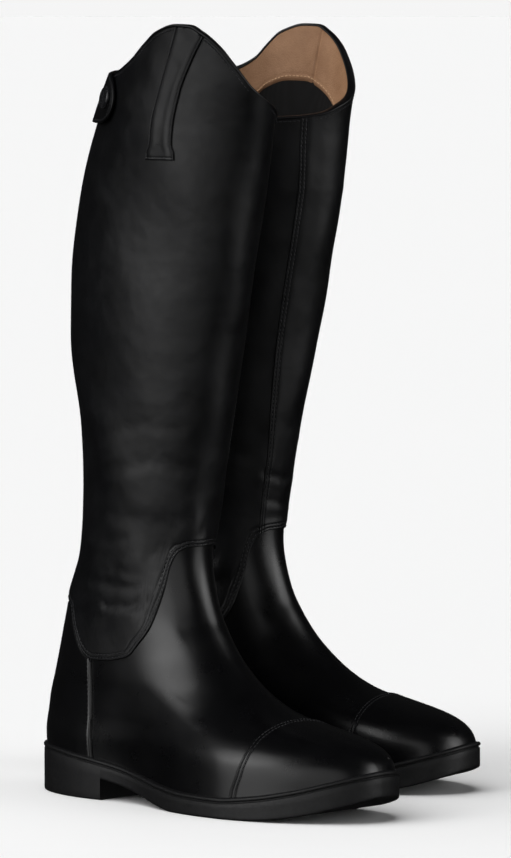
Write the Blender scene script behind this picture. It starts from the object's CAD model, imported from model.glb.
import math

import bpy
import numpy as np
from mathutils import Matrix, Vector


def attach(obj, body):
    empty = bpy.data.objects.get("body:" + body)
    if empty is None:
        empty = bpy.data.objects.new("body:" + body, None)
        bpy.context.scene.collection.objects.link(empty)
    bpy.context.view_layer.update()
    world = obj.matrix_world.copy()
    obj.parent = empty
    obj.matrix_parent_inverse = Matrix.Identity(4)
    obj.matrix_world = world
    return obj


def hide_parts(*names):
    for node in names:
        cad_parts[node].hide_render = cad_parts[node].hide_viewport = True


# A pair of tall black leather riding boots.
# Shapes are worked out in the boot frame of the CAD model, in millimetres, as arrays of
# (medial, -forward, height) points for a right boot, and are then placed in the row frame, in metres.
# Directions round the leg, "turns", are radians from the front; positive turns are on the medial side.

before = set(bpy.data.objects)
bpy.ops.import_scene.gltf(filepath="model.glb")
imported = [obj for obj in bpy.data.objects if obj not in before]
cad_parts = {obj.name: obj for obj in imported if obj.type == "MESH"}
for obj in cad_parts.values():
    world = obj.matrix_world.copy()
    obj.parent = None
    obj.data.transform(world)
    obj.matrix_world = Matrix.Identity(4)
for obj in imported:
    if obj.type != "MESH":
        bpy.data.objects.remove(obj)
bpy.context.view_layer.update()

# ---------------------------------------------------------------- where the boots stand, as in the CAD model
BOOT_SPACING = 97.2
BOOT_STAGGER = 34.8
TOE_OUT = 7.6
PAIR_CENTRE = 140.77
SIDES = ("right", "left")

ZIP_RADIUS = 312.0
ZIP_CENTRE_HEIGHT = 318.0
CALF_BACK = 21.5
ZIP_SLOT = 4.4                # half width of the gap between the shaft panels
ZIP_BOTTOM = 126.0
ZIP_TOP = 466.0


# ---------------------------------------------------------------- curves and the shape of the leg
def smooth(points):
    """A curve through the points that never overshoots them, as a function of an array."""
    xs = np.array([p[0] for p in points], float)
    ys = np.array([p[1] for p in points], float)
    steps = np.diff(xs)
    slopes = np.diff(ys) / steps
    tangents = np.zeros(len(xs))
    tangents[0] = slopes[0]
    tangents[-1] = slopes[-1]
    for i in range(1, len(xs) - 1):
        if slopes[i - 1] * slopes[i] > 0:
            before = 2 * steps[i] + steps[i - 1]
            after = steps[i] + 2 * steps[i - 1]
            tangents[i] = (before + after) / (before / slopes[i - 1] + after / slopes[i])

    def value(x):
        x = np.clip(x, xs[0], xs[-1])
        i = np.clip(np.searchsorted(xs, x, side="right") - 1, 0, len(steps) - 1)
        t = (x - xs[i]) / steps[i]
        rise = steps[i] * (t * (1 - t) ** 2 * tangents[i] + t * t * (t - 1) * tangents[i + 1])
        return (1 + 2 * t) * (1 - t) ** 2 * ys[i] + t * t * (3 - 2 * t) * ys[i + 1] + rise

    return value


def calf_arc(height):
    """Forward position of the back line where the zip's slider runs."""
    return CALF_BACK + ZIP_RADIUS - math.sqrt(ZIP_RADIUS ** 2 - (height - ZIP_CENTRE_HEIGHT) ** 2)


FRONT = smooth([(8, 281), (30, 281), (36, 279.5), (41, 275.5), (45, 269), (49, 258), (53, 242), (57, 225),
                (62, 207), (70, 190.5), (80, 176.8), (100, 157.5), (130, 140.6), (160, 134.6), (200, 140),
                (250, 150.4), (300, 160.3), (350, 170.8), (400, 180), (430, 185.5), (450, 190), (470, 195),
                (530, 200)])
BACK = smooth([(8, 2.5), (30, 1.5), (45, 0.3), (60, 0.6), (80, 5.2), (100, 9.8), (130, 17.8), (160, 26.3),
               (185, 32.3), (205, 33.8), (218, 33.7)]
              + [(height, calf_arc(height)) for height in range(240, 541, 20)])
LATERAL = smooth([(8, 48.5), (30, 48.5), (36, 48.3), (41, 47), (45, 45.2), (49, 43.2), (53, 41.2),
                  (57, 39.6), (62, 37.8), (70, 35.8), (80, 34), (100, 30.6), (130, 29.5), (160, 30),
                  (200, 32.5), (250, 35.5), (300, 37.5), (350, 38.5), (400, 38.5), (450, 37.5), (530, 37)])
MEDIAL = smooth([(8, 44.5), (30, 44.5), (36, 44.3), (41, 43.2), (45, 42), (49, 40.5), (53, 39.3), (57, 38.2),
                 (62, 37), (70, 35.3), (80, 33.8), (100, 30.4), (130, 29.3), (160, 29.8), (200, 32.7),
                 (250, 35.6), (300, 37.5), (350, 38.5), (400, 38.7), (450, 38), (530, 37.5)])
WIDEST = smooth([(8, 186), (30, 186), (41, 183), (49, 172), (57, 152), (62, 140), (70, 124), (80, 108),
                 (100, 92), (130, 79.2)])
TOE_POWER_LATERAL = smooth([(8, 1.8), (40, 1.8), (57, 1.95), (80, 2.0)])
TOE_POWER_MEDIAL = smooth([(8, 2.55), (40, 2.5), (57, 2.2), (80, 2.0)])
HEEL_POWER = smooth([(8, 2.5), (40, 2.5), (60, 2.3), (80, 2.15), (120, 2.0)])
WAIST_LATERAL = smooth([(8, 0.25), (30, 0.23), (45, 0.15), (62, 0.05), (80, 0.0)])
WAIST_MEDIAL = smooth([(8, 0.37), (30, 0.35), (45, 0.26), (62, 0.12), (80, 0.03), (100, 0.0)])
TOE_SHIFT = smooth([(8, 6), (40, 6), (57, 3.5), (80, 0)])
WAIST_AT = 100.0
WAIST_SPREAD = 42.0
SOLE_SECTION = 20.0           # height of the section that the sole follows
ROUND_ABOVE = 130.0

# lines on the boot: heights by degrees from the front, or (forward, height) in side view
TOP_EDGE = smooth([(0, 454.5), (15, 450), (29, 445.5), (46, 443.5), (72, 442.5), (98, 443.5), (126, 448.5),
                   (145, 456), (165, 465.5), (185, 470.5), (205, 472), (225, 474.5), (240, 482), (248, 491),
                   (257, 499.5), (272, 504), (284, 503.5), (295, 499), (309, 490), (323, 477.5), (339, 464),
                   (352, 457.5), (360, 454.5)])
SHAFT_EDGE = smooth([(0, 167.5), (21, 167), (33, 163.5), (40, 155), (47, 140), (53, 130), (66, 114),
                     (79, 103), (92, 94), (106, 90.5), (115, 90), (120, 92.5), (131, 108), (140, 122),
                     (155, 126), (180, 127)])
MEDIAL_SEAM = smooth([(150, 32), (187, 33), (212, 33.5), (252, 37.5), (286, 39), (330, 40.2), (376, 40.6),
                      (402, 41.5), (432, 43.6), (450, 45.2)])
FEATHER_LINE = smooth([(-20, 31.5), (0, 31.4), (30, 30.6), (60, 27.8), (85, 24.3), (110, 19.8), (135, 15.8),
                       (160, 13.6), (190, 13.2), (215, 15.5), (240, 20.2), (262, 26.5), (285, 34.2),
                       (300, 39.5)])
GROUND_LINE = smooth([(0, 0), (205, 0), (225, 1.2), (245, 4.4), (265, 10.0), (285, 18.2), (300, 25)])
SHANK_UNDERSIDE = smooth([(77, 13.5), (96, 10.2), (115, 6.0), (134, 2.1), (152, 0), (160, 0)])
HEEL_BREAST = 75.6
TOE_CAP_EDGE = smooth([(0, 198), (16, 200), (32, 206), (45, 210), (58, 211.5), (70, 212)])
HEEL_PIECE_EDGE = smooth([(0, 69), (34, 67.5), (60, 64), (84, 61), (96, 59), (140, 50)])
STRIP_BACK_EDGE = smooth([(410, 119.3), (422, 119.3), (427, 121.6), (441, 123.3), (458, 128.3), (481, 136.3),
                          (520, 150)])
STRIP_FRONT_EDGE = smooth([(410, 141.3), (422, 141.3), (427, 139.8), (441, 141.2), (461, 146.6), (481, 156),
                           (500, 167), (520, 176)])


def outline(height, turn):
    """(forward, medial) of the leg's outside, for arrays of heights and turns."""
    front = FRONT(height)
    back = BACK(height)
    middle = np.where(height > ROUND_ABOVE, (front + back) / 2, WIDEST(height))
    along = np.cos(turn)
    medial_side = np.sin(turn) >= 0
    width = np.where(medial_side, MEDIAL(height), LATERAL(height))
    toe_power = np.where(medial_side, TOE_POWER_MEDIAL(height), TOE_POWER_LATERAL(height))
    power = np.where(along >= 0, toe_power, HEEL_POWER(height))
    reach = np.where(along >= 0, front - middle, middle - back)
    forward = middle + reach * along
    half_width = width * np.maximum(0.0, 1 - np.abs(along) ** power) ** (1 / power)
    waist = np.where(medial_side, WAIST_MEDIAL(height), WAIST_LATERAL(height))
    half_width = half_width * (1 - waist * np.exp(-((forward - WAIST_AT) / WAIST_SPREAD) ** 2))
    toe = np.clip((forward - 170.0) / 110.0, 0, 1)
    shift = TOE_SHIFT(height) * toe * toe * (3 - 2 * toe)
    return forward, np.where(medial_side, half_width, -half_width) + shift


def sole_section(turns):
    """(forward, medial) of the foot at the height whose outline the sole follows."""
    return outline(np.full(len(turns), SOLE_SECTION), turns)


# ---------------------------------------------------------------- the smoothed outside, as a table
COLUMNS = 720
SOFTEN_ALONG = 4.5            # millimetres, over which the leather rounds the shape's small corners
SOFTEN_AROUND = 3.5           # columns


def gaussian_weights(count, spread, ring=False):
    offsets = np.arange(count)[:, None] - np.arange(count)[None, :]
    if ring:
        offsets = (offsets + count / 2) % count - count / 2
    weights = np.exp(-0.5 * (offsets / spread) ** 2)
    return weights / weights.sum(1, keepdims=True)


def unit(vectors):
    return vectors / np.linalg.norm(vectors, axis=-1, keepdims=True)


def shape_tables():
    """Heights of the rows, and the points and outward normals of the whole outside, 1 mm apart upwards."""
    fine = np.linspace(2, 560, 8000)
    length = np.concatenate([[0], np.cumsum(np.hypot(np.diff(fine), np.diff(FRONT(fine))))])
    heights = np.interp(np.arange(0, length[-1], 1.0), length, fine)
    turns = np.arange(COLUMNS) * 2 * math.pi / COLUMNS
    forward, medial = outline(heights[:, None], turns[None, :])
    points = np.stack([medial, -forward, np.broadcast_to(heights[:, None], medial.shape)], -1)
    along = gaussian_weights(len(heights), SOFTEN_ALONG)
    around = gaussian_weights(COLUMNS, SOFTEN_AROUND, ring=True)
    points = np.einsum("ij,jkc->ikc", along, points, optimize=True)
    points = np.einsum("kl,ilc->ikc", around, points, optimize=True)
    up = np.gradient(points, axis=0)
    ring = np.roll(points, -1, 1) - np.roll(points, 1, 1)
    return points[:, 0, 2].copy(), points, unit(np.cross(ring, up))


ROW_HEIGHTS, POINTS, NORMALS = shape_tables()


def cubic_weights(t):
    return (-0.5 * t + t ** 2 - 0.5 * t ** 3, 1 - 2.5 * t ** 2 + 1.5 * t ** 3,
            0.5 * t + 2 * t ** 2 - 1.5 * t ** 3, -0.5 * t ** 2 + 0.5 * t ** 3)


def look_up(table, height, turn):
    row = np.clip(np.interp(height, ROW_HEIGHTS, np.arange(len(ROW_HEIGHTS))), 1, len(ROW_HEIGHTS) - 3.001)
    column = (turn / (2 * math.pi) * COLUMNS) % COLUMNS
    i = np.floor(row).astype(int)
    j = np.floor(column).astype(int)
    total = 0
    for k, wk in enumerate(cubic_weights(row - i)):
        for m, wm in enumerate(cubic_weights(column - j)):
            total = total + (wk * wm)[..., None] * table[i + k - 1, (j + m - 1) % COLUMNS]
    return total


def skin(height, turn, lift=0.0):
    """Points on the outside of the boot, raised by lift."""
    height, turn, lift = np.broadcast_arrays(np.asarray(height, float), turn, lift)
    return look_up(POINTS, height, turn) + look_up(NORMALS, height, turn) * lift[..., None]


def outward(height, turn):
    height, turn = np.broadcast_arrays(np.asarray(height, float), turn)
    return unit(look_up(NORMALS, height, turn))


def turn_at(forward, height, side=1):
    """The turn, on the medial side (1) or lateral side (-1), where the outside is at a forward position."""
    front = FRONT(height)
    back = BACK(height)
    middle = np.where(height > ROUND_ABOVE, (front + back) / 2, WIDEST(height))
    reach = np.where(forward >= middle, front - middle, middle - back)
    return side * np.arccos(np.clip((forward - middle) / reach, -1, 1))


def steps_on_skin(height, turn):
    """How the surface point moves per millimetre of height and per radian of turn."""
    per_height = skin(height + 0.5, turn) - skin(height - 0.5, turn)
    per_turn = (skin(height, turn + 0.01) - skin(height, turn - 0.01)) / 0.02
    return per_height, per_turn


def arc_per_turn(height, turn):
    """Millimetres along the skin per radian of turn."""
    return np.linalg.norm(steps_on_skin(height, turn)[1], axis=-1)


def beside(heights, turns, distance):
    """The line on the skin that runs at a distance to the left of a line, as seen from outside."""
    line = skin(heights, turns)
    tangent = np.gradient(line, axis=0)
    tangent[0] = tangent[1]
    tangent[-1] = tangent[-2]
    sideways = unit(np.cross(outward(heights, turns), tangent))
    per_height, per_turn = steps_on_skin(heights, turns)
    a = (per_height ** 2).sum(-1)
    b = (per_height * per_turn).sum(-1)
    c = (per_turn ** 2).sum(-1)
    p = distance * (sideways * per_height).sum(-1)
    q = distance * (sideways * per_turn).sum(-1)
    determinant = a * c - b * b
    return heights + (c * p - b * q) / determinant, turns + (a * q - b * p) / determinant


def rounding(distance, radius):
    """How far a rolled edge falls away at each distance from the edge."""
    inside = np.clip(radius - distance, 0, radius)
    return radius - np.sqrt(radius ** 2 - inside ** 2)


def groove(distance, at, depth=0.3, width=0.42):
    return depth * np.exp(-((distance - at) / width) ** 2)


# ---------------------------------------------------------------- creases and waves of the leather
class Relief:
    """Height of the leather's creases over its smooth shape, for one boot."""

    def __init__(self, side):
        self.side = side
        random = np.random.default_rng(7 if side == "right" else 11)
        self.waves = []
        for _ in range(26):
            length = random.uniform(45, 150)
            around = random.integers(1, 7)
            self.waves.append((random.uniform(0.03, 0.1) * length / 60, 2 * math.pi / length, around,
                               random.uniform(0, 2 * math.pi)))

    def fold(self, height, turn, line, depth, width, shoulder=0.5, shoulder_at=3.2):
        """A crease along a line of (degrees, height) points, with a soft ridge below it."""
        reach = 52.0
        degrees = np.degrees(turn)
        x = (degrees - line[0][0] + 180) % 360 - 180 + line[0][0]
        best = np.full(np.shape(height), 1e9)
        signed = np.zeros(np.shape(height))
        for (a, ha), (b, hb) in zip(line, line[1:]):
            ax, bx, px = np.radians(a) * reach, np.radians(b) * reach, np.radians(x) * reach
            dx, dy = bx - ax, hb - ha
            t = np.clip(((px - ax) * dx + (height - ha) * dy) / (dx * dx + dy * dy), 0, 1)
            ox, oy = px - ax - t * dx, height - ha - t * dy
            away = np.hypot(ox, oy)
            closer = away < best
            best = np.where(closer, away, best)
            signed = np.where(closer, oy * abs(dx) / math.hypot(dx, dy), signed)
        valley = np.exp(-(best / width) ** 2)
        ridge = np.exp(-((signed + shoulder_at) / (width * 1.3)) ** 2)
        ridge = ridge * np.exp(-(best / (width * 3.2)) ** 2)
        return depth * (shoulder * ridge - valley)

    def shaft(self, height, turn):
        total = np.zeros(np.broadcast(height, turn).shape)
        for strength, per_mm, around, phase in self.waves:
            total = total + strength * np.sin(per_mm * height + around * turn + phase)
        total = total * (0.8 + 0.9 * np.exp(-((height - 170) / 60.0) ** 2))
        for line, depth, width in SHAFT_FOLDS[self.side]:
            total = total + FOLD_STRENGTH * self.fold(height, turn, line, depth, width)
        return total

    def foot(self, height, turn):
        total = np.zeros(np.broadcast(height, turn).shape)
        for line, depth, width in FOOT_FOLDS[self.side]:
            total = total + self.fold(height, turn, line, depth, width)
        return total


FOLD_STRENGTH = 1.45
# creases: points of (degrees round the leg, height), depth and width
SHAFT_FOLDS = {
    "right": [
        ([(262, 126), (282, 126), (298, 132)], 0.9, 2.2),
        ([(250, 141), (281, 139), (303, 140)], 0.6, 3.2),
        ([(272, 150), (301, 146)], 0.35, 3.0),
        ([(260, 214), (298, 222), (331, 217)], 0.5, 5.5),
        ([(255, 238), (290, 246), (318, 243)], 0.3, 5.0),
        ([(268, 186), (304, 181), (336, 186)], 0.4, 5.5),
        ([(300, 160), (330, 168), (352, 176)], 0.35, 4.0),
        ([(120, 150), (150, 156), (176, 150)], 0.4, 3.6),
        ([(240, 172), (262, 168), (280, 171)], 0.35, 4.0),
        ([(60, 150), (95, 142), (125, 148)], 0.4, 4.0),
    ],
    "left": [
        ([(32, 205), (6, 200), (-10, 203)], 0.5, 3.4),
        ([(26, 187), (-8, 182)], 0.5, 3.0),
        ([(25, 175), (-4, 176)], 0.4, 2.6),
        ([(62, 132), (90, 128), (112, 134)], 0.7, 2.6),
        ([(70, 146), (100, 143), (125, 148)], 0.5, 3.2),
        ([(48, 216), (84, 222), (110, 214)], 0.45, 5.0),
        ([(262, 127), (282, 126), (298, 131)], 0.7, 2.4),
        ([(250, 142), (281, 140), (300, 142)], 0.5, 3.2),
        ([(14, 236), (-14, 232)], 0.35, 4.5),
    ],
}
FOOT_FOLDS = {
    "right": [
        ([(292, 74), (318, 82), (342, 84)], 0.22, 4.5),
        ([(322, 112), (345, 118), (368, 116)], 0.3, 5.0),
    ],
    "left": [
        ([(20, 84), (44, 80), (66, 74)], 0.22, 4.5),
        ([(-6, 118), (14, 119), (36, 112)], 0.3, 5.0),
    ],
}


# ---------------------------------------------------------------- meshes
class Sheet:
    """Vertices and faces of one piece, collected in the boot frame."""

    def __init__(self):
        self.points = []
        self.faces = []
        self.count = 0

    def add(self, points, faces):
        points = np.asarray(points, float).reshape(-1, 3)
        self.faces += [tuple(int(i) + self.count for i in face) for face in faces]
        self.points.append(points)
        self.count += len(points)

    def grid(self, points, ring=False, flip=False):
        """Adds rows x columns of points as quads; ring joins the last column to the first."""
        rows, columns = points.shape[:2]
        index = np.arange(rows * columns).reshape(rows, columns)
        if ring:
            index = np.concatenate([index, index[:, :1]], 1)
        quads = np.stack([index[:-1, :-1], index[:-1, 1:], index[1:, 1:], index[1:, :-1]], -1).reshape(-1, 4)
        if flip:
            quads = quads[:, ::-1]
        self.add(points, quads)


# the soft top of the left shaft leans back, by these distances at these heights
LEFT_LEAN = smooth([(395, 0), (430, 3.4), (452, 5.3), (475, 7.3), (500, 8.8)])


def to_row_frame(points, side):
    sign = 1 if side == "left" else -1
    angle = math.radians(TOE_OUT) * sign
    x = points[:, 0] * (-1 if side == "left" else 1)
    y = points[:, 1]
    if side == "left":
        front_share = np.clip((-y - 88.0) / 40.0, 0, 1)
        y = y + LEFT_LEAN(points[:, 2]) * front_share * front_share * (3 - 2 * front_share)
    moved = np.empty_like(points)
    moved[:, 0] = math.cos(angle) * x - math.sin(angle) * y + sign * BOOT_SPACING / 2
    moved[:, 1] = math.sin(angle) * x + math.cos(angle) * y + sign * BOOT_STAGGER / 2 + PAIR_CENTRE
    moved[:, 2] = points[:, 2]
    return moved / 1000


def new_object(name, data):
    obj = bpy.data.objects.new(name, data)
    bpy.context.scene.collection.objects.link(obj)
    return obj


def make_piece(side, name, sheet, material, body="boot", nodes=()):
    points = to_row_frame(np.concatenate(sheet.points), side)
    faces = sheet.faces if side == "right" else [face[::-1] for face in sheet.faces]
    mesh = bpy.data.meshes.new(f"{side}_{name}")
    mesh.from_pydata(points.tolist(), [], faces)
    mesh.polygons.foreach_set("use_smooth", [True] * len(mesh.polygons))
    mesh.materials.append(material)
    mesh.update()
    obj = new_object(f"{side}_{name}", mesh)
    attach(obj, f"{side}_{body}")
    if nodes:
        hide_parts(*[f"{side}_{node}" for node in nodes])
    return obj


# distances from an edge: of the two rows of stitches, and of a panel's rows of points
STITCHES_AT = (1.6, 3.95)
EDGE_ROUND = 0.8
EDGE_ROWS = [0, 0, 0.06, 0.22, 0.48, 0.8, 1.1, 1.35, 1.6, 1.85, 2.15, 2.7, 3.3, 3.65, 3.95, 4.25, 4.7,
             5.6, 7.0]


def edge_lift(distance, base, wall):
    """Lift of a panel near its edge: a straight wall, a rolled corner and grooves for the stitches."""
    lift = base - rounding(distance, EDGE_ROUND)
    for at in STITCHES_AT:
        lift = lift - groove(distance, at)
    lift = np.array(lift)
    lift[0] = wall
    return lift


STITCH_PITCH = 3.0
STITCH_LENGTH = 2.3
STITCH_RADIUS = 0.34


def stitch_row(sheet, line, normals, pitch=STITCH_PITCH, length=STITCH_LENGTH, radius=STITCH_RADIUS):
    """Short plump threads laid end to end along a line of points."""
    run = np.concatenate([[0], np.cumsum(np.linalg.norm(np.diff(line, axis=0), axis=1))])
    sections = [(-0.5, 0.15), (-0.42, 0.8), (-0.2, 1.0), (0.2, 1.0), (0.42, 0.8), (0.5, 0.15)]
    sides = 6
    for at in np.arange(pitch / 2, run[-1] - pitch / 4, pitch):
        centre = np.array([np.interp(at, run, line[:, k]) for k in range(3)])
        ahead = np.array([np.interp(at + 0.5, run, line[:, k]) for k in range(3)])
        back = np.array([np.interp(at - 0.5, run, line[:, k]) for k in range(3)])
        normal = np.array([np.interp(at, run, normals[:, k]) for k in range(3)])
        along = (ahead - back) / np.linalg.norm(ahead - back)
        across = np.cross(normal, along)
        across /= np.linalg.norm(across)
        rings = []
        for place, size in sections:
            dip = -0.28 * (2 * place) ** 2
            for k in range(sides):
                angle = 2 * math.pi * k / sides
                rings.append(centre + along * place * length + across * radius * size * math.cos(angle)
                             + normal * (radius * size * math.sin(angle) + dip))
        sheet.grid(np.array(rings).reshape(len(sections), sides, 3)[:, ::-1], ring=True)


def stitch_line(sheet, heights, turns, lift, **spacing):
    stitch_row(sheet, skin(heights, turns, lift), outward(heights, turns), **spacing)


# ---------------------------------------------------------------- shaft panels
SHAFT_LIFT = 0.25
SHAFT_EDGE_LIFT = 0.95        # the shaft's lower edge lies on top of the foot's leather
SEAM_LIFT = 0.75              # the front panel's edge lies on the medial panel
ZIP_STITCHES_AT = 2.15        # from the edge beside the zip
STEEPEST = 3.0                # most that a row near the lower edge rises per millimetre of distance


def zip_turn(height, half_gap=ZIP_SLOT):
    return math.pi - np.arcsin(np.clip(half_gap / MEDIAL(height), -1, 1))


def seam_turn(height):
    return np.radians(MEDIAL_SEAM(height))


def shaft_edge_line(count=721):
    turns = np.linspace(-math.pi, math.pi, count)
    return SHAFT_EDGE(np.degrees(np.abs(turns))), turns


def width_between(height, start, end):
    turns = np.linspace(start, end, 60)
    line = skin(np.full(60, height), turns)
    return np.linalg.norm(np.diff(line, axis=0), axis=1).sum()


def column_distances(width, spacing):
    """Distances across a panel, close together near both edges."""
    near = np.array(EDGE_ROWS, float)
    inner = np.arange(near[-1] + spacing, width - near[-1] - spacing / 2, spacing)
    return np.concatenate([near, inner, (width - near)[::-1]])


def shaft_panel(relief, left, right, raised_right, raised_left):
    """A panel between two side edges, from the shaft's lower edge to just under the binding."""
    reference = 280.0
    width = width_between(reference, left(reference), right(reference))
    across = column_distances(width, 1.9)
    fraction = across / width
    from_side = np.minimum(across, width - across)

    def turn_across(height):
        return left(height) + fraction * (right(height) - left(height))

    low_turn = turn_across(np.full(len(across), 130.0))
    for _ in range(30):
        low_height = SHAFT_EDGE(np.degrees(np.abs(low_turn)))
        low_turn = 0.5 * low_turn + 0.5 * turn_across(low_height)
    high_turn = turn_across(np.full(len(across), 460.0))
    for _ in range(10):
        high_height = TOP_EDGE(np.degrees(high_turn) % 360) - 1.4
        high_turn = turn_across(high_height)

    edge = skin(low_height, low_turn)
    along = np.hypot(np.gradient(edge[:, 0]), np.gradient(edge[:, 1]))
    steepness = np.sqrt(1 + (np.gradient(low_height) / np.maximum(along, 0.2)) ** 2)
    steepness = np.minimum(steepness, STEEPEST)
    near_low = EDGE_ROWS + [9.0, 11.5]
    heights = [low_height + distance * steepness for distance in near_low]
    turns = [turn_across(row) for row in heights]
    start_height = heights[-1]
    rows = 165
    for share in np.linspace(0, 1, rows)[1:]:
        heights.append(start_height + (high_height - start_height) * share)
        turns.append(turn_across(heights[-1]))
    heights = np.array(heights)
    turns = np.array(turns)

    from_low = np.concatenate([near_low, np.full(rows - 1, 99.0)])[:, None]
    above_low = heights - low_height[None, :]
    base = SHAFT_LIFT + (SHAFT_EDGE_LIFT - SHAFT_LIFT) * np.exp(-(above_low / 16.0) ** 2)
    from_left = across[None, :]
    from_right = (width - across)[None, :]
    lift = base - np.maximum.reduce([rounding(from_low, EDGE_ROUND) + 0 * across[None, :],
                                     rounding(from_left, EDGE_ROUND) + 0 * from_low,
                                     rounding(from_right, EDGE_ROUND) + 0 * from_low])
    for at in STITCHES_AT:
        lift = lift - groove(from_low, at)
    for distance, raised in ((from_right, raised_right), (from_left, raised_left)):
        if raised == "seam":
            lift = lift + SEAM_LIFT * np.exp(-(np.maximum(distance - 4.5, 0) / 5.0) ** 2)
            for at in STITCHES_AT:
                lift = lift - groove(distance, at)
        elif raised == "zip":
            lift = lift - groove(distance, ZIP_STITCHES_AT, 0.35, 0.5)
    fade = np.clip(np.minimum(from_low, from_side[None, :]) / 5.0, 0.25, 1)
    lift = lift + relief.shaft(heights, turns) * fade
    lift[0, :] = -0.5
    if raised_left:
        lift[:, 0] = -2.0 if raised_left == "zip" else -0.2
    if raised_right:
        lift[:, -1] = -2.0 if raised_right == "zip" else -0.2
    return heights, turns, lift


def shaft_pieces(side, relief, look):
    panels = {
        "shaft_panel_lateral": shaft_panel(relief, lambda h: -zip_turn(h), seam_turn, "seam", "zip"),
        "shaft_panel_medial": shaft_panel(relief, lambda h: seam_turn(h) - 0.09, zip_turn, "zip", None),
    }
    for name, (heights, turns, lift) in panels.items():
        sheet = Sheet()
        sheet.grid(skin(heights, turns, lift))
        nodes = [name, "shaft_stay"] if name == "shaft_panel_lateral" else [name]
        make_piece(side, name, sheet, look["shaft"], nodes=nodes)

    thread = Sheet()
    heights, turns = shaft_edge_line()
    for distance in STITCHES_AT:
        h, u = beside(*beside(heights, turns, distance / 2), distance / 2)
        stitch_line(thread, h, u, SHAFT_EDGE_LIFT - 0.1 + relief.shaft(h, u) * 0.5)
    seam_heights = np.linspace(SHAFT_EDGE(33) + 6, 443, 300)
    for distance in STITCHES_AT:
        h, u = beside(seam_heights, seam_turn(seam_heights), distance)
        stitch_line(thread, h, u, SHAFT_LIFT + SEAM_LIFT - 0.05 + relief.shaft(h, u) * 0.5)
    for sign in (-1, 1):
        h = np.linspace(ZIP_BOTTOM + 6, 458, 300)
        u = sign * zip_turn(h, ZIP_SLOT + ZIP_STITCHES_AT)
        stitch_line(thread, h, u, SHAFT_LIFT - 0.12 + relief.shaft(h, u) * 0.5)
    make_piece(side, "shaft_stitches", thread, look["thread"])


# ---------------------------------------------------------------- foot
CAP_LIFT = 0.95
HEEL_LIFT = 0.85
PIPING_AT = 1.5
CAP_START = 212.0             # forward position of the toe cap's edge on top of the foot
CAP_TIP = 280.6


def vamp_piece(side, relief, look):
    turns = np.linspace(0, 2 * math.pi, 361)[:-1]
    signed = (turns + math.pi) % (2 * math.pi) - math.pi
    top = SHAFT_EDGE(np.degrees(np.abs(signed))) + 7.0
    rows = 210
    row_places = np.arange(len(ROW_HEIGHTS))
    forward = sole_section(turns)[0]
    low_place = np.interp(FEATHER_LINE(forward) - 1.2, ROW_HEIGHTS, row_places)
    high_place = np.interp(top, ROW_HEIGHTS, row_places)
    share = np.linspace(0, 1, rows)[:, None]
    places = low_place[None, :] + share * (high_place - low_place)[None, :]
    heights = np.interp(places, row_places, ROW_HEIGHTS)
    spread = np.broadcast_to(turns[None, :], heights.shape)
    sheet = Sheet()
    sheet.grid(skin(heights, spread, -0.15 + relief.foot(heights, spread)), ring=True)
    make_piece(side, "vamp", sheet, look["foot"], nodes=["vamp"])


def toe_cap_piece(side, look, thread):
    down_from = np.linspace(160, 31.0, 2000)
    forward_of = FRONT(down_from)
    near = np.array(EDGE_ROWS + [8.5, 10.5, 13.0])
    rest = 13.0 + (CAP_TIP - CAP_START - 13.0) * np.sin(np.linspace(0, math.pi / 2, 60))[1:]
    reach = np.concatenate([near, rest])
    arch = np.linspace(-1, 1, 161)

    def cap_row(distance):
        front = min(CAP_START + distance, CAP_TIP)
        top_height = np.interp(front, forward_of, down_from)
        foot_height = min(float(FEATHER_LINE(front)) - 1.0, top_height - 0.01)
        h = top_height - (top_height - foot_height) * arch ** 2
        swept = (CAP_START - TOE_CAP_EDGE(h)) * (1 - distance / (CAP_TIP - CAP_START))
        return h, turn_at(np.minimum(front - swept, FRONT(h)), h) * np.sign(arch + 1e-9)

    lines = [cap_row(distance) for distance in reach]
    heights = np.array([line[0] for line in lines])
    spread = np.array([line[1] for line in lines])
    lift = edge_lift(reach, CAP_LIFT, -0.3)[:, None] + 0 * heights
    cap = Sheet()
    cap.grid(skin(heights, spread, lift), flip=True)
    make_piece(side, "toe_cap", cap, look["foot"], nodes=["toe_cap", "toe_puff"])
    for distance in STITCHES_AT:
        h, u = cap_row(distance)
        stitch_line(thread, h[4:-4], u[4:-4], CAP_LIFT - 0.1)


def heel_turn(height, distance, sign):
    """The turn at a distance behind the heel piece's front edge."""
    edge = turn_at(HEEL_PIECE_EDGE(height), height)
    return edge + distance / np.maximum(arc_per_turn(height, sign * edge), 15.0)


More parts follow.
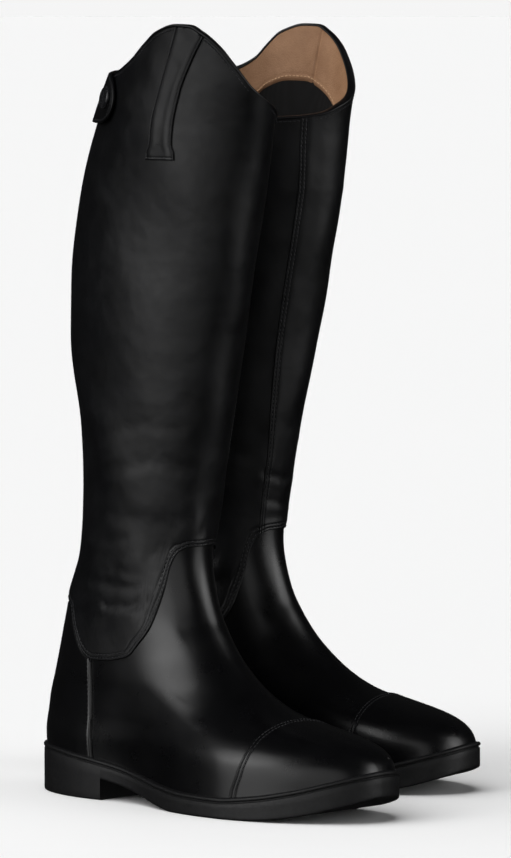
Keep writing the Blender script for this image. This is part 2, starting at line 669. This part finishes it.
def heel_piece(side, look, thread):
    height_rows = np.linspace(24, 124, 90)
    columns = np.concatenate([EDGE_ROWS, np.linspace(9.0, 110, 50)])
    sides = []
    for sign in (1, -1):
        turns_here = np.array([np.minimum(heel_turn(height_rows, d, sign), math.pi) for d in columns]).T
        if sign < 0:
            turns_here = 2 * math.pi - turns_here[:, ::-1]
        sides.append(turns_here)
    spread = np.concatenate([sides[0], sides[1]], 1)
    away = np.concatenate([columns, columns[::-1]])
    heights = np.broadcast_to(height_rows[:, None], spread.shape)
    profile = HEEL_LIFT - rounding(away, 0.9) + 0.75 * np.exp(-((away - PIPING_AT) / 0.75) ** 2)
    profile = profile - groove(away, 3.1, 0.45, 0.5)
    profile[0] = -0.3
    profile[-1] = -0.3
    shaft_edge = SHAFT_EDGE(np.degrees(np.minimum(spread, 2 * math.pi - spread)))
    # the heel piece sinks where the shaft lies over it
    covered = np.clip((heights - shaft_edge + 0.8) / 2.4, 0, 1)
    heel = Sheet()
    heel.grid(skin(heights, spread, profile[None, :] * (1 - covered) - 0.6 * covered))
    make_piece(side, "heel_piece", heel, look["foot"], nodes=["heel_counter_cover"])
    for sign in (1, -1):
        h = np.linspace(31, 91, 80)
        stitch_line(thread, h, sign * heel_turn(h, 4.4, sign), HEEL_LIFT - 0.05)


def foot_pieces(side, relief, look):
    thread = Sheet()
    vamp_piece(side, relief, look)
    toe_cap_piece(side, look, thread)
    heel_piece(side, look, thread)
    make_piece(side, "foot_stitches", thread, look["thread"])


# ---------------------------------------------------------------- lining, facing and binding
FACING_DEPTH = 38.0
FACING_SEAM = -1.22           # turn of the seam between the facing's two parts
FACING_GAP = 0.11             # turn left free on each side of the zip
FACING_LIFT = -4.25           # inside of the facing, measured from the outside of the boot
LINING_LIFT = -3.2


def ring_between(low, high, lift, rows, start=-math.pi, end=math.pi, count=361, seam=None):
    """A band of the inside wall between two heights by turn, with an upright seam; it faces inwards."""
    turns = np.linspace(start, end, count)
    share = np.linspace(0, 1, rows)[:, None]
    heights = low(turns)[None, :] + share * (high(turns) - low(turns))[None, :]
    spread = np.broadcast_to(turns[None, :], heights.shape)
    depths = np.broadcast_to(np.reshape(lift, (-1, 1)), heights.shape)
    if seam is not None:
        depths = depths + 0.6 * np.exp(-((spread - seam) / 0.016) ** 2)
    return skin(heights, spread, depths)


def top_height(turns):
    return TOP_EDGE(np.degrees(turns) % 360)


def inside_floor(turns):
    return FEATHER_LINE(sole_section(turns)[0]) + 3.0


def lining_pieces(side, look):
    lining = Sheet()
    lining.grid(ring_between(inside_floor, lambda t: top_height(t) - 30, LINING_LIFT, 220), flip=True)
    make_piece(side, "leg_lining", lining, look["lining"],
               nodes=["leg_lining", "foot_lining"])

    facing = Sheet()
    rows = 46
    lift = np.full(rows, FACING_LIFT)
    lift[:4] = [LINING_LIFT, -3.7, -4.1, FACING_LIFT]
    lift[5:7] += 0.12                     # channel of the stitches
    facing.grid(ring_between(lambda t: top_height(t) - FACING_DEPTH, lambda t: top_height(t) - 1.5, lift,
                             rows, -math.pi + FACING_GAP, math.pi - FACING_GAP, 901, FACING_SEAM), flip=True)
    make_piece(side, "top_facing", facing, look["tan"], nodes=["top_facing"])
    thread = Sheet()
    turns = np.linspace(-math.pi + FACING_GAP, math.pi - FACING_GAP, 500)
    heights = top_height(turns) - FACING_DEPTH + 3.0
    stitch_row(thread, skin(heights, turns, FACING_LIFT + 0.05), -outward(heights, turns))
    make_piece(side, "facing_stitches", thread, look["tan_thread"])


def binding_piece(side, look):
    """Leather rolled over the top edge, ending on each side of the zip."""
    half = float(zip_turn(np.array(468.0)))
    turns = np.linspace(-half, half, 720)
    heights = top_height(turns)
    edge = skin(heights, turns)
    normal = outward(heights, turns)
    up = np.cross(normal, unit(np.gradient(edge, axis=0)))
    section = []
    for k in range(20):
        angle = 2 * math.pi * k / 20
        c, s = math.cos(angle), math.sin(angle)
        section.append((-1.9 + 2.7 * math.copysign(abs(c) ** 0.8, c),
                        -0.9 + 1.15 * math.copysign(abs(s) ** 0.8, s)))
    sheet = Sheet()
    points = np.array([edge + normal * x + up * y for x, y in section])
    sheet.grid(points.transpose(1, 0, 2), ring=True, flip=True)
    ends = np.arange(len(section))
    sheet.add(points[:, 0], [ends[::-1]])
    sheet.add(points[:, -1], [ends])
    make_piece(side, "top_binding", sheet, look["edge"], nodes=["top_binding"])
    thread = Sheet()
    stitch_row(thread, edge + normal * 0.45 - up * 3.4, normal)
    make_piece(side, "binding_stitches", thread, look["thread"])


# ---------------------------------------------------------------- side strip
STRIP_LOW = 417.3
STRIP_LIFT = 1.75
STRIP_STITCHES_AT = 1.3
STRIP_STITCH_SIZES = {"pitch": 2.5, "length": 1.9, "radius": 0.3}


def strip_piece(side, relief, look):
    rows = np.concatenate([STRIP_LOW + np.array([0, 0, 0.06, 0.22, 0.48, 0.8, 1.2, 1.7, 2.3, 3.0, 4.5]),
                           STRIP_LOW + np.arange(6.0, 92.0, 1.5)])
    columns = np.array([0, 0, 0.05, 0.15, 0.32, 0.6, 0.95, 1.3, 1.65, 2.1, 3.0, 4.4])
    sides = np.concatenate([columns, -columns[::-1]])
    back = turn_at(STRIP_BACK_EDGE(rows), rows, -1)
    front = turn_at(STRIP_FRONT_EDGE(rows), rows, -1)
    per_turn = arc_per_turn(rows, back)
    width = (front - back) * per_turn
    spread = []
    away = []
    for distance in columns:
        spread.append(back + distance / per_turn)
        away.append(np.full(len(rows), distance))
    for share in np.linspace(0, 1, 9)[1:-1]:
        start, end = columns[-1], width - columns[-1]
        place = start + share * (end - start)
        spread.append(back + place / per_turn)
        away.append(np.minimum(place, width - place))
    for distance in columns[::-1]:
        spread.append(front - distance / per_turn)
        away.append(np.full(len(rows), distance))
    spread = np.array(spread).T
    away = np.array(away).T
    heights = np.broadcast_to(rows[:, None], spread.shape)
    heights = np.minimum(heights, top_height(spread) - 1.6)
    from_low = heights - STRIP_LOW
    lift = STRIP_LIFT - np.maximum(rounding(away, 0.6), rounding(from_low, 0.8))
    lift = lift - groove(away, STRIP_STITCHES_AT, 0.3, 0.35) * (from_low > 1.2)
    lift = lift - groove(from_low, 1.7, 0.3, 0.4) * (away > 1.0)
    lift = lift + 0.35 * np.exp(-((away - 4.6) / 2.2) ** 2)
    lift = lift + relief.shaft(heights, spread)
    lift[0, :] = 0.0
    lift[:, 0] = 0.0
    lift[:, -1] = 0.0
    sheet = Sheet()
    sheet.grid(skin(heights, spread, lift))
    make_piece(side, "side_strip", sheet, look["shaft"],
               nodes=["side_strip", "side_strip_end"])
    thread = Sheet()
    h = np.linspace(STRIP_LOW + 1.6, 497, 160)
    for edge, sign in ((STRIP_BACK_EDGE, 1), (STRIP_FRONT_EDGE, -1)):
        u = turn_at(edge(h), h, -1)
        u = u + sign * STRIP_STITCHES_AT / arc_per_turn(h, u)
        keep = h < top_height(u) - 4
        stitch_line(thread, h[keep], u[keep], STRIP_LIFT - 0.1 + relief.shaft(h[keep], u[keep]),
                    **STRIP_STITCH_SIZES)
    for height in (STRIP_LOW + 1.7, STRIP_LOW + 9.5):
        u = np.linspace(turn_at(STRIP_BACK_EDGE(height), height, -1) + 0.03,
                        turn_at(STRIP_FRONT_EDGE(height), height, -1) - 0.03, 20)
        h = np.full(20, height)
        stitch_line(thread, h, u, STRIP_LIFT + 0.05 + relief.shaft(h, u), **STRIP_STITCH_SIZES)
    make_piece(side, "strip_stitches", thread, look["thread"])


# ---------------------------------------------------------------- zip
COIL_PITCH = 1.5
TAPE_HALF = 9.5


def zip_tape(side, look, name, sign):
    heights = np.linspace(114, ZIP_TOP - 1, 180)
    across = np.linspace(0.15, TAPE_HALF, 12)
    spread = np.array([sign * zip_turn(heights, x) for x in across]).T
    grid = np.broadcast_to(heights[:, None], spread.shape)
    tape = Sheet()
    tape.grid(skin(grid, spread, -1.7), flip=sign > 0)
    make_piece(side, f"zip_tape_{name}", tape, look["tape"], nodes=[f"zip_tape_{name}"])


def zip_coil(side, look, name, sign):
    coil = Sheet()
    teeth = np.arange(ZIP_BOTTOM + 4.5, ZIP_TOP - 1.0, COIL_PITCH) + (COIL_PITCH / 2 if sign > 0 else 0)
    sides, rings = 6, [(0.0, 0.3), (0.35, 0.62), (1.4, 0.62), (2.6, 0.58), (3.0, 0.3)]
    centre = np.full(len(teeth), math.pi)
    origin = skin(teeth, centre)
    normal = outward(teeth, centre)
    up = unit(steps_on_skin(teeth, centre)[0])
    out = np.cross(up, normal) * sign
    out *= np.sign((out[:, :1] * sign))
    for k in range(len(teeth)):
        points = []
        for reach, radius in rings:
            for m in range(sides):
                angle = 2 * math.pi * m / sides
                points.append(origin[k] + out[k] * (reach - 0.35) - normal[k] * (0.75 + 0.1 * reach)
                              + up[k] * (radius * math.cos(angle)) + normal[k] * radius * math.sin(angle))
        coil.grid(np.array(points).reshape(len(rings), sides, 3), ring=True, flip=sign < 0)
    make_piece(side, f"zip_coil_{name}", coil, look["coil"], nodes=[f"zip_coil_{name}"])


def zip_pieces(side, look):
    for name, sign in (("medial", 1), ("lateral", -1)):
        zip_tape(side, look, name, sign)
        zip_coil(side, look, name, sign)


# ---------------------------------------------------------------- snap tab
TAB_LOW = 439.5
TAB_HIGH = 471.5
TAB_MIDDLE = (TAB_LOW + TAB_HIGH) / 2
TAB_HALF = (TAB_HIGH - TAB_LOW) / 2
TAB_THICKNESS = 1.8
TAB_STITCHES_AT = 1.9
TAB_CORNER = 0.7              # radius of its rolled edges
TAB_END = 71.0                # forward position of the centre of its round end
TAB_HINGE = 9.7               # medial position of its fold line
TAB_BASE_START = 21.5         # medial position where its sewn base starts
TAB_BASE_LIFT = 1.9
LEG_HALF_WIDTH = 38.0         # of the leg at the tab's height


def tab_lift(turn):
    """Gap under the tab: room for the press stud, and more where the tab crosses the zip."""
    return 1.8 + 2.2 * np.exp(-((turn - math.pi) / 0.25) ** 2)


def tab_turn(medial):
    """The turn of a place on the back of the leg, at the tab's height."""
    return math.pi - math.asin(medial / LEG_HALF_WIDTH)


def tab_piece(side, look):
    hinge = tab_turn(TAB_HINGE)
    radii = TAB_HALF - np.array([0, 0.05, 0.18, 0.4, 0.7, 1.1, 1.5, TAB_STITCHES_AT, 2.4, 3.4, 5, 7, 9, 11,
                                 13, 15, 15.9])
    straight = np.linspace(0, 1, 46)
    angles = np.linspace(0, math.pi, 40)[1:-1]

    def straight_side(height, shares):
        stop = 2 * math.pi - turn_at(TAB_END, height)
        return np.full(len(shares), height), hinge + shares * (stop - hinge)

    lines = []
    for radius in radii:
        upper_h, upper_u = straight_side(TAB_MIDDLE + radius, straight)
        round_h = TAB_MIDDLE + radius * np.cos(angles)
        round_u = 2 * math.pi - turn_at(TAB_END + radius * np.sin(angles), round_h)
        lower_h, lower_u = straight_side(TAB_MIDDLE - radius, straight[::-1])
        lines.append((np.concatenate([upper_h, round_h, lower_h]),
                      np.concatenate([upper_u, round_u, lower_u])))
    heights = np.array([line[0] for line in lines])
    spread = np.array([line[1] for line in lines])
    away = (TAB_HALF - radii)[:, None]
    outer = tab_lift(spread) + TAB_THICKNESS - rounding(away, TAB_CORNER)
    outer = outer - groove(away, TAB_STITCHES_AT, 0.3, 0.4)
    inner = tab_lift(spread) + rounding(away, TAB_CORNER) * 0.6
    sheet = Sheet()
    outside = skin(heights, spread, outer)
    inside = skin(heights, spread, inner)
    sheet.grid(outside)
    sheet.grid(inside, flip=True)
    sheet.grid(np.array([inside[0], outside[0]]))
    closing = np.concatenate([outside[:, 0], outside[::-1, -1], inside[:, -1], inside[::-1, 0]])
    sheet.add(closing, [tuple(range(len(closing)))])
    make_piece(side, "snap_tab", sheet, look["tab"], body="snap_tab", nodes=["snap_tab"])
    thread = Sheet()
    row = int(np.argmin(np.abs(radii - (TAB_HALF - TAB_STITCHES_AT))))
    stitch_line(thread, heights[row], spread[row], tab_lift(spread[row]) + TAB_THICKNESS - 0.1,
                pitch=2.8, length=2.1, radius=0.32)
    make_piece(side, "snap_tab_stitches", thread, look["thread"], body="snap_tab")


def tab_base_piece(side, look):
    hinge = tab_turn(TAB_HINGE)
    start = tab_turn(TAB_BASE_START)
    columns = np.concatenate([[0, 0, 0.002, 0.006, 0.014, 0.03, 0.06], np.linspace(0.1, 1, 14)])
    turns = start + columns * (hinge - 0.02 - start)
    edge = np.array([0, 0, 0.05, 0.2, 0.45, 0.8, 1.3, 1.9, 2.5, 4])
    rows = np.concatenate([TAB_LOW + edge, np.linspace(TAB_LOW + 6, TAB_HIGH - 6, 10),
                           (TAB_HIGH - edge)[::-1]])
    grid_h, grid_u = np.meshgrid(rows, turns, indexing="ij")
    from_edge = np.minimum(grid_h - TAB_LOW, TAB_HIGH - grid_h)
    share = columns[None, :] ** 2 * (3 - 2 * columns[None, :])
    lift = TAB_BASE_LIFT + share * (tab_lift(hinge) + TAB_THICKNESS - TAB_BASE_LIFT)
    from_start = columns[None, :] * (hinge - start) * LEG_HALF_WIDTH
    lift = lift - np.maximum(rounding(from_edge, TAB_CORNER), rounding(from_start, TAB_CORNER))
    lift = lift - groove(from_edge, TAB_STITCHES_AT, 0.3, 0.4)
    lift[0, :] = 0.0
    lift[-1, :] = 0.0
    lift[:, 0] = 0.0
    grid_h = np.minimum(grid_h, top_height(grid_u) - 0.6)
    base = Sheet()
    base.grid(skin(grid_h, grid_u, lift))
    make_piece(side, "snap_tab_base", base, look["tab"], nodes=["snap_tab_base"])


# ---------------------------------------------------------------- outsole and footbed
SHARP_ANGLE = 50               # degrees; steeper corners of the rubber stay sharp
SHANK_FRONT = 152.0            # where the arch under the waist ends


def outsole_piece(side, look):
    """The rubber sole: welt lip, groove, side wall, heel breast and arched shank."""
    half = np.linspace(0, math.pi, 241)
    forward = sole_section(half)[0]
    breast = np.interp(-HEEL_BREAST, -forward, half)
    half = np.sort(np.concatenate([half, [breast - 0.0008, breast + 0.0008]]))
    # the welt lip and the groove under it: (reach beyond the upper, height over the feather line)
    profile = [(-4.0, 0.3), (0.4, 0.3), (1.9, 0.25), (2.7, -0.05), (3.15, -0.6), (3.2, -1.2), (3.1, -1.9),
               (2.65, -2.3), (2.05, -2.6), (2.05, -3.1), (2.6, -3.5), (2.85, -4.0)]
    rings = []
    for sign in (1, -1):
        turns = sign * half
        f, m = sole_section(turns)
        f1, m1 = sole_section(turns + 0.02)
        f0, m0 = sole_section(turns - 0.02)
        outx, outy = f0 - f1, m0 - m1
        length = np.hypot(outx, outy)
        outx, outy = outx / length, outy / length
        ground = np.where(f < HEEL_BREAST, 0.0,
                          np.where(f < SHANK_FRONT, SHANK_UNDERSIDE(f), GROUND_LINE(f)))
        feather = FEATHER_LINE(f)
        rows = []
        for reach, drop in profile:
            z = feather + drop
            rows.append(np.stack([m + outx * reach, -f + outy * reach, z], -1))
        for share in (0.3, 0.6, 0.85):
            z = (feather - 4.2) * (1 - share) + (ground + 1.4) * share
            rows.append(np.stack([m + outx * 2.9, -f + outy * 2.9, z], -1))
        for reach, z in ((2.9, 1.4), (2.75, 0.55), (2.3, 0.12), (1.6, 0.0), (0.6, 0.0)):
            rows.append(np.stack([m + outx * reach, -f + outy * reach, ground + z], -1))
        rings.append(np.array(rows))
    medial, lateral = rings
    whole = np.concatenate([medial, lateral[:, ::-1]], 1)
    sheet = Sheet()
    sheet.grid(whole, ring=True)
    low_medial, low_lateral = medial[-1], lateral[-1]
    across = np.linspace(0, 1, 24)[:, None, None]
    sheet.grid(low_medial[None] * (1 - across) + low_lateral[None] * across, flip=True)
    obj = make_piece(side, "outsole", sheet, look["rubber"], nodes=["outsole"])
    obj.data.set_sharp_from_angle(angle=math.radians(SHARP_ANGLE))


def footbed_piece(side, look):
    half = np.linspace(0.02, math.pi - 0.02, 120)
    columns = []
    for turn in half:
        f, m = sole_section(np.array([turn, -turn]))
        left, right = (np.array([m[0] - 4.6, -f[0]]), np.array([m[1] + 4.6, -f[1]]))
        if left[0] <= right[0]:
            left[0] = right[0] = (m[0] + m[1]) / 2
        f_inside = np.clip(f[0], 6.0, 275.0)
        line = []
        for share in np.linspace(0, 1, 25):
            edge = 2 * share - 1
            z = FEATHER_LINE(f_inside) + 7.6 + 2.2 * abs(edge) ** 3
            z = z - (1.8 * edge ** 4 if abs(edge) > 0.93 else 0)
            line.append([left[0] + (right[0] - left[0]) * share, -f_inside, z])
        columns.append(line)
    sheet = Sheet()
    sheet.grid(np.array(columns).transpose(1, 0, 2), flip=True)
    obj = make_piece(side, "footbed", sheet, look["footbed"], nodes=["footbed"])


# ---------------------------------------------------------------- materials
def set_inputs(node, values):
    for name, value in values.items():
        node.inputs[name].default_value = value


def new_material(name):
    material = bpy.data.materials.new(name)
    material.use_nodes = True
    nodes = material.node_tree.nodes
    shader = nodes["Principled BSDF"]
    return material, nodes, material.node_tree.links, shader


def noise(nodes, links, scale, detail, rough):
    """A noise texture in the piece's own space; scale is in cycles per metre."""
    place = nodes.new("ShaderNodeTexCoord")
    texture = nodes.new("ShaderNodeTexNoise")
    set_inputs(texture, {"Scale": scale, "Detail": detail, "Roughness": rough})
    links.new(place.outputs["Object"], texture.inputs["Vector"])
    return texture.outputs["Fac"]


def cells(nodes, links, scale):
    """Distance to the edge of the nearest cell, for the leather's fine grain."""
    place = nodes.new("ShaderNodeTexCoord")
    texture = nodes.new("ShaderNodeTexVoronoi")
    texture.feature = "DISTANCE_TO_EDGE"
    texture.inputs["Scale"].default_value = scale
    links.new(place.outputs["Object"], texture.inputs["Vector"])
    return texture.outputs["Distance"]


def spread(nodes, links, value, low_in, high_in, low, high):
    ramp = nodes.new("ShaderNodeMapRange")
    set_inputs(ramp, {"From Min": low_in, "From Max": high_in, "To Min": low, "To Max": high})
    links.new(value, ramp.inputs["Value"])
    return ramp.outputs["Result"]


def colours(nodes, links, value, stops):
    ramp = nodes.new("ShaderNodeValToRGB")
    ramp.color_ramp.elements[0].position = stops[0][0]
    ramp.color_ramp.elements[0].color = (*stops[0][1], 1)
    ramp.color_ramp.elements[1].position = stops[-1][0]
    ramp.color_ramp.elements[1].color = (*stops[-1][1], 1)
    for place, colour in stops[1:-1]:
        ramp.color_ramp.elements.new(place).color = (*colour, 1)
    links.new(value, ramp.inputs["Fac"])
    return ramp.outputs["Color"]


def bumps(nodes, links, shader, layers):
    """Layers of (height output, distance in metres, strength), one on another."""
    previous = None
    for height, distance, strength in layers:
        bump = nodes.new("ShaderNodeBump")
        set_inputs(bump, {"Distance": distance, "Strength": strength})
        links.new(height, bump.inputs["Height"])
        if previous is not None:
            links.new(previous, bump.inputs["Normal"])
        previous = bump.outputs["Normal"]
    links.new(previous, shader.inputs["Normal"])


def leather(name, dark, light, rough, grain, waves, coat=0.0, pores=900):
    """Smooth full-grain leather: faint cells and pores, soft waves and uneven sheen."""
    material, nodes, links, shader = new_material(name)
    patches = noise(nodes, links, 38, 4, 0.6)
    colour = colours(nodes, links, patches, [(0.3, dark), (0.72, light)])
    links.new(colour, shader.inputs["Base Color"])
    uneven = noise(nodes, links, 60, 5, 0.65)
    links.new(spread(nodes, links, uneven, 0.25, 0.75, rough[0], rough[1]), shader.inputs["Roughness"])
    set_inputs(shader, {"Specular IOR Level": 0.5, "Coat Weight": coat, "Coat Roughness": 0.16})
    soft = noise(nodes, links, 55, 2, 0.4)
    cell = spread(nodes, links, cells(nodes, links, pores), 0.0, 0.12, 0.0, 1.0)
    fine = noise(nodes, links, 2400, 2, 0.5)
    bumps(nodes, links, shader, [(soft, 0.0012, waves), (cell, 0.00006, grain), (fine, 0.00004, grain)])
    return material


def woven(name, colour, lighter, threads, rough=0.85):
    """Plain cloth: two sets of threads crossing."""
    material, nodes, links, shader = new_material(name)
    place = nodes.new("ShaderNodeTexCoord")
    waves = []
    for direction in ("X", "Z"):
        wave = nodes.new("ShaderNodeTexWave")
        wave.bands_direction = direction
        set_inputs(wave, {"Scale": threads, "Distortion": 0.4})
        links.new(place.outputs["Object"], wave.inputs["Vector"])
        waves.append(wave.outputs["Fac"])
    product = nodes.new("ShaderNodeMath")
    product.operation = "MULTIPLY"
    links.new(waves[0], product.inputs[0])
    links.new(waves[1], product.inputs[1])
    tone = colours(nodes, links, product.outputs[0], [(0.1, colour), (0.9, lighter)])
    links.new(tone, shader.inputs["Base Color"])
    set_inputs(shader, {"Roughness": rough, "Sheen Weight": 0.04})
    bumps(nodes, links, shader, [(product.outputs[0], 0.0002, 0.6)])
    return material


def plain(name, dark, light, rough, scale, bump, metallic=0.0, coat=0.0):
    """Rubber, nylon, enamel, steel or board: mottled colour, uneven roughness and a fine texture."""
    material, nodes, links, shader = new_material(name)
    patches = noise(nodes, links, scale, 5, 0.6)
    links.new(colours(nodes, links, patches, [(0.3, dark), (0.7, light)]), shader.inputs["Base Color"])
    uneven = noise(nodes, links, scale * 2.3, 4, 0.6)
    links.new(spread(nodes, links, uneven, 0.3, 0.7, rough[0], rough[1]), shader.inputs["Roughness"])
    set_inputs(shader, {"Metallic": metallic, "Coat Weight": coat})
    bumps(nodes, links, shader, [(noise(nodes, links, scale * 14, 3, 0.5), 0.0001, bump)])
    return material


def make_looks():
    black = (0.0009, 0.0009, 0.0012)
    return {
        "foot": leather("foot leather", black, (0.0020, 0.0020, 0.0024), (0.25, 0.34), 0.25, 0.1, coat=0.25),
        "shaft": leather("shaft leather", black, (0.0032, 0.0034, 0.0042), (0.32, 0.50), 0.35, 0.55),
        "edge": leather("edge leather", black, (0.0035, 0.0035, 0.004), (0.34, 0.44), 0.3, 0.1),
        "tab": leather("tab leather", black, (0.0035, 0.0035, 0.004), (0.32, 0.42), 0.3, 0.1),
        "footbed": leather("footbed leather", (0.012, 0.011, 0.011), (0.03, 0.028, 0.027), (0.5, 0.65),
                           0.5, 0.2),
        "tan": leather("tan lining leather", (0.25, 0.125, 0.06), (0.42, 0.235, 0.13), (0.5, 0.66), 1.2, 0.3,
                       pores=520),
        "lining": woven("black lining cloth", (0.0012, 0.0012, 0.0013), (0.0045, 0.0045, 0.005), 420),
        "tape": woven("zip tape", (0.006, 0.006, 0.007), (0.022, 0.022, 0.024), 620),
        "coil": plain("nylon coil", (0.008, 0.008, 0.009), (0.018, 0.018, 0.02), (0.3, 0.42), 300, 0.1),
        "metal": plain("black enamelled metal", (0.008, 0.008, 0.009), (0.016, 0.016, 0.018), (0.18, 0.3),
                       260, 0.1, metallic=0.35, coat=0.6),
        "rubber": plain("black rubber", (0.003, 0.003, 0.0033), (0.0065, 0.0065, 0.007), (0.42, 0.6),
                        220, 0.35),
        "thread": plain("black thread", (0.006, 0.006, 0.007), (0.02, 0.02, 0.022), (0.34, 0.5), 1500, 0.5),
        "tan_thread": plain("tan thread", (0.5, 0.3, 0.16), (0.66, 0.44, 0.26), (0.6, 0.8), 1500, 0.5),
        "steel": plain("spring steel", (0.4, 0.4, 0.42), (0.55, 0.55, 0.57), (0.25, 0.4), 120, 0.2,
                       metallic=1.0),
        "board": plain("insole board", (0.3, 0.22, 0.15), (0.46, 0.36, 0.26), (0.75, 0.9), 180, 0.5),
        "fibre": plain("pressed fibre", (0.45, 0.41, 0.35), (0.6, 0.57, 0.5), (0.7, 0.85), 150, 0.4),
    }


KEPT_NODES = {
    "zip_slider": "metal", "zip_pull": "metal", "zip_bottom_stop": "metal", "snap_stud": "metal",
    "snap_cap": "metal", "steel_shank": "steel", "sole_filler": "board", "insole_board": "board",
    "heel_stiffener": "fibre",
}


def dress_kept_nodes(side, look):
    for name, material in KEPT_NODES.items():
        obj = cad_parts[f"{side}_{name}"]
        obj.data.materials.clear()
        obj.data.materials.append(look[material])


# ---------------------------------------------------------------- floor, light and camera
def floor():
    size = 400.0
    mesh = bpy.data.meshes.new("floor")
    corners = [(-size, -size, 0), (size, -size, 0), (size, size, 0), (-size, size, 0)]
    mesh.from_pydata(corners, [], [(0, 1, 2, 3)])
    material, nodes, links, shader = new_material("pale floor")
    tone = noise(nodes, links, 0.4, 2, 0.4)
    links.new(colours(nodes, links, tone, [(0.0, (FLOOR_COLOUR,) * 3), (1.0, (FLOOR_COLOUR + 0.005,) * 3)]),
              shader.inputs["Base Color"])
    set_inputs(shader, {"Roughness": 0.9, "Specular IOR Level": 0.0})
    mesh.materials.append(material)
    obj = new_object("floor", mesh)
    obj.visible_glossy = False


# soft panels in the studio: direction towards the panel, brightness, and the cosines of the angles
# from its middle at which it starts and is full
PANELS = [
    ((-0.94, 0.32, 0.10), 1.25, 0.88, 0.975),
    ((-0.80, 0.40, 0.45), 1.9, 0.91, 0.985),
    ((-0.94, -0.34, 0.06), 0.6, 0.89, 0.99),
    ((0.05, -1.0, 0.10), 1.25, 0.89, 0.985),
    ((0.30, -0.90, 0.45), 1.7, 0.91, 0.985),
]
AMBIENT = 0.012
FLOOR_TONE = 0.913            # brightness of the pale floor and backdrop
FLOOR_COLOUR = 0.87


def studio():
    world = bpy.data.worlds.new("studio")
    bpy.context.scene.world = world
    world.use_nodes = True
    nodes = world.node_tree.nodes
    links = world.node_tree.links
    place = nodes.new("ShaderNodeTexCoord")
    total = None
    for direction, brightness, low, high in PANELS:
        dot = nodes.new("ShaderNodeVectorMath")
        dot.operation = "DOT_PRODUCT"
        dot.inputs[1].default_value = Vector(direction).normalized()
        links.new(place.outputs["Generated"], dot.inputs[0])
        ramp = nodes.new("ShaderNodeMapRange")
        ramp.interpolation_type = "SMOOTHSTEP"
        set_inputs(ramp, {"From Min": low, "From Max": high, "To Max": brightness})
        links.new(dot.outputs["Value"], ramp.inputs["Value"])
        if total is None:
            total = ramp.outputs["Result"]
            continue
        add = nodes.new("ShaderNodeMath")
        links.new(total, add.inputs[0])
        links.new(ramp.outputs["Result"], add.inputs[1])
        total = add.outputs["Value"]
    base = nodes.new("ShaderNodeMath")
    base.inputs[1].default_value = AMBIENT
    links.new(total, base.inputs[0])
    background = nodes["Background"]
    background.inputs["Color"].default_value = (1, 1, 1, 1)
    links.new(base.outputs["Value"], background.inputs["Strength"])


def top_light():
    """Broad overhead light for the floor and the soft shadows; it has no mirror image in the leather."""
    light = bpy.data.lights.new("top light", "SUN")
    light.energy = FLOOR_TONE * math.pi / FLOOR_COLOUR * 0.854
    light.angle = math.radians(75)
    obj = new_object("top light", light)
    obj.rotation_euler = (math.radians(-14), math.radians(-16), 0)
    obj.visible_glossy = False


def backdrop():
    """A pale wall far behind, in line with the floor's tone."""
    away = Vector((-CAMERA_PLACE[0], -CAMERA_PLACE[1], 0)).normalized() * 350.0
    side = Vector((away.y, -away.x, 0))
    mesh = bpy.data.meshes.new("backdrop")
    rise = Vector((0, 0, 200))
    corners = [away - side, away + side, away + side + rise, away - side + rise]
    mesh.from_pydata([tuple(corner) for corner in corners], [], [(0, 1, 2, 3)])
    material, nodes, links, shader = new_material("backdrop")
    set_inputs(shader, {"Base Color": (0, 0, 0, 1), "Specular IOR Level": 0.0,
                        "Emission Color": (1, 1, 1, 1), "Emission Strength": FLOOR_TONE})
    mesh.materials.append(material)
    obj = new_object("backdrop", mesh)
    obj.visible_glossy = False
    obj.visible_diffuse = False
    obj.visible_shadow = False


CAMERA_PLACE = (-3.1185, -2.2433, 0.5143)
CAMERA_TARGET = (0.0, -0.0022, 0.239)
LENS = 246.34


def camera():
    data = bpy.data.cameras.new("camera")
    data.lens = LENS
    data.sensor_width = 36.0
    obj = new_object("camera", data)
    obj.location = CAMERA_PLACE
    look = Vector(CAMERA_TARGET) - Vector(CAMERA_PLACE)
    obj.rotation_euler = look.to_track_quat("-Z", "Y").to_euler()
    bpy.context.scene.camera = obj
    bpy.context.scene.view_settings.view_transform = "Standard"


# ---------------------------------------------------------------- build
look = make_looks()
for side in SIDES:
    relief = Relief(side)
    outsole_piece(side, look)
    foot_pieces(side, relief, look)
    shaft_pieces(side, relief, look)
    lining_pieces(side, look)
    binding_piece(side, look)
    strip_piece(side, relief, look)
    zip_pieces(side, look)
    tab_piece(side, look)
    tab_base_piece(side, look)
    footbed_piece(side, look)
    dress_kept_nodes(side, look)
floor()
backdrop()
top_light()
studio()
camera()
